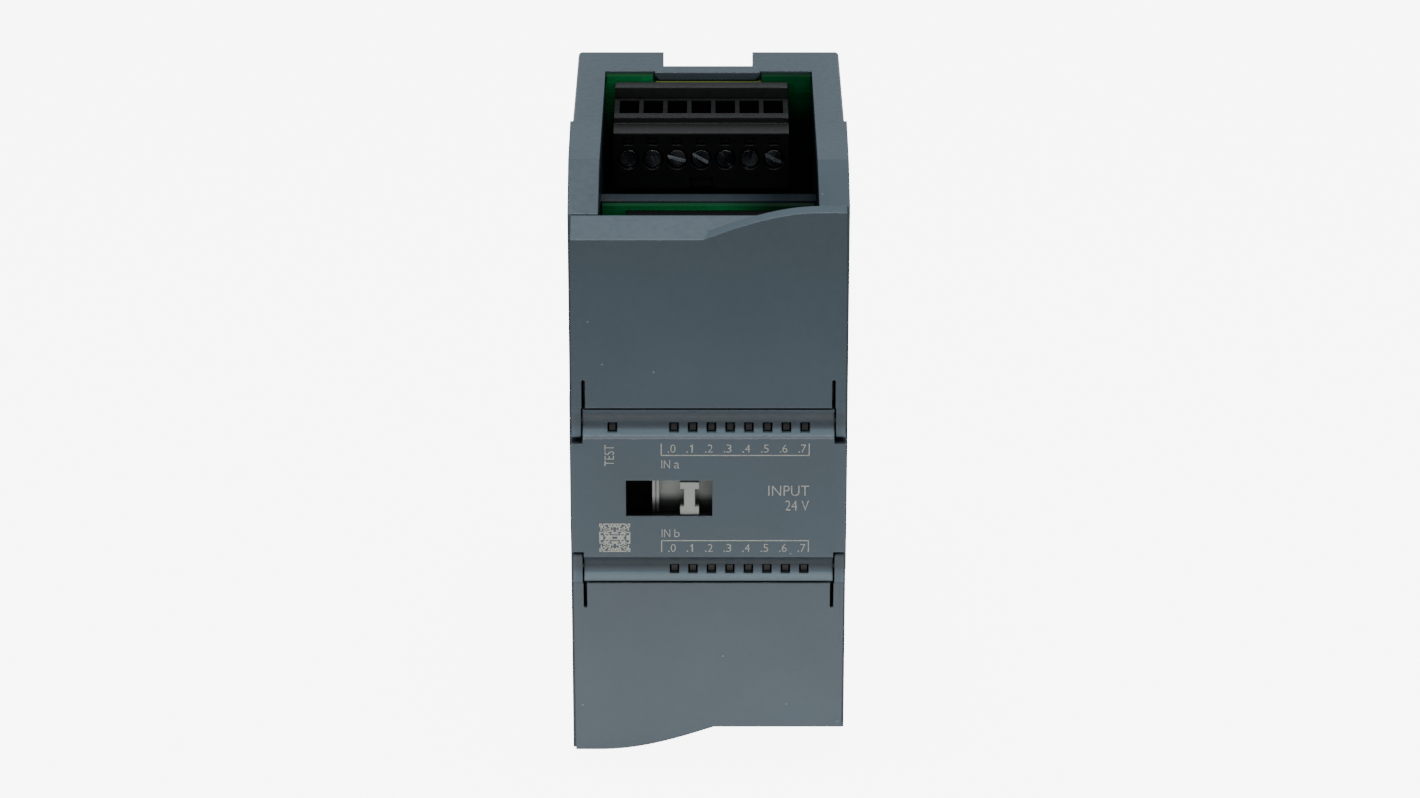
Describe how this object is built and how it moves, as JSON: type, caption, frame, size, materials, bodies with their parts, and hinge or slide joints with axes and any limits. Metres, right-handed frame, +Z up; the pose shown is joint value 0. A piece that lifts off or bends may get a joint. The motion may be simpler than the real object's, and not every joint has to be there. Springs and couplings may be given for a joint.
{
  "type": "plc digital input module",
  "caption": "DIN-rail input module with hinged terminal doors, plug-in screw terminals, sliding bus connector and pull-out rail clips.",
  "frame": {"origin": "middle of the footprint, on the lowest face", "axes": "+Z up the module, front panel faces -Y, bus socket on +X"},
  "size_m": [0.045, 0.075, 0.1],
  "materials": {
    "housing": "fine moulded grain",
    "door": "fine moulded grain",
    "clip": "satin",
    "board": "solder mask",
    "terminal": "satin",
    "screw": "nickel plated",
    "clamp": "tin plated",
    "pin": "tin plated",
    "light_guide": "clear polycarbonate",
    "lamp": "moulded lens",
    "slider": "satin",
    "connector": "satin",
    "contact": "gold plated",
    "chip": "moulded epoxy",
    "can": "satin",
    "print": "pad printed"
  },
  "bodies": {
    "module": {"rear_housing": "housing", "front_housing": "housing", "rear_board": "board", "front_board": "board", "bridge_board": "board", "bridge_headers": "connector", "upper_rear_pin_header": "terminal", "upper_rear_header_pins": "pin", "upper_front_terminal_block": "terminal", "upper_front_terminal_screws": "screw", "upper_front_wire_clamps": "clamp", "upper_front_pin_header": "terminal", "upper_front_header_pins": "pin", "lower_rear_pin_header": "terminal", "lower_rear_header_pins": "pin", "lower_front_terminal_block": "terminal", "lower_front_terminal_screws": "screw", "lower_front_wire_clamps": "clamp", "lower_front_pin_header": "terminal", "lower_front_header_pins": "pin", "upper_light_guide": "light_guide", "lower_light_guide": "light_guide", "upper_lamps": "lamp", "lower_lamps": "lamp", "bus_socket": "connector", "bus_socket_contacts": "contact", "optocouplers": "chip", "controller_chip": "chip", "capacitors": "can", "inductor": "chip", "board_screws": "screw"},
    "upper_door": {"upper_door": "door"},
    "lower_door": {"lower_door": "door"},
    "upper_clip": {"upper_din_clip": "clip"},
    "lower_clip": {"lower_din_clip": "clip"},
    "bus_carriage": {"bus_slider": "slider", "bus_plug": "connector", "bus_plug_contacts": "contact"},
    "upper_plug_block": {"upper_rear_terminal_block": "terminal", "upper_rear_terminal_screws": "screw", "upper_rear_wire_clamps": "clamp"},
    "lower_plug_block": {"lower_rear_terminal_block": "terminal", "lower_rear_terminal_screws": "screw", "lower_rear_wire_clamps": "clamp"}
  },
  "joints": [
    {"name": "upper_door_hinge", "type": "hinge", "parent": "module", "child": "upper_door", "pos_m": [0, -0.03495, 0.0626], "axis": [1, 0, 0], "range_deg": [0, 100]},
    {"name": "lower_door_hinge", "type": "hinge", "parent": "module", "child": "lower_door", "pos_m": [0, -0.03495, 0.0374], "axis": [-1, 0, 0], "range_deg": [0, 100]},
    {"name": "upper_clip_slide", "type": "slide", "parent": "module", "child": "upper_clip", "axis": [0, 0, 1], "range_m": [0, 0.0125]},
    {"name": "lower_clip_slide", "type": "slide", "parent": "module", "child": "lower_clip", "axis": [0, 0, -1], "range_m": [0, 0.0125]},
    {"name": "bus_slide", "type": "slide", "parent": "module", "child": "bus_carriage", "axis": [-1, 0, 0], "range_m": [0, 0.008]},
    {"name": "upper_block_slide", "type": "slide", "parent": "module", "child": "upper_plug_block", "axis": [0, -1, 0], "range_m": [0, 0.01]},
    {"name": "lower_block_slide", "type": "slide", "parent": "module", "child": "lower_plug_block", "axis": [0, -1, 0], "range_m": [0, 0.01]}
  ]
}
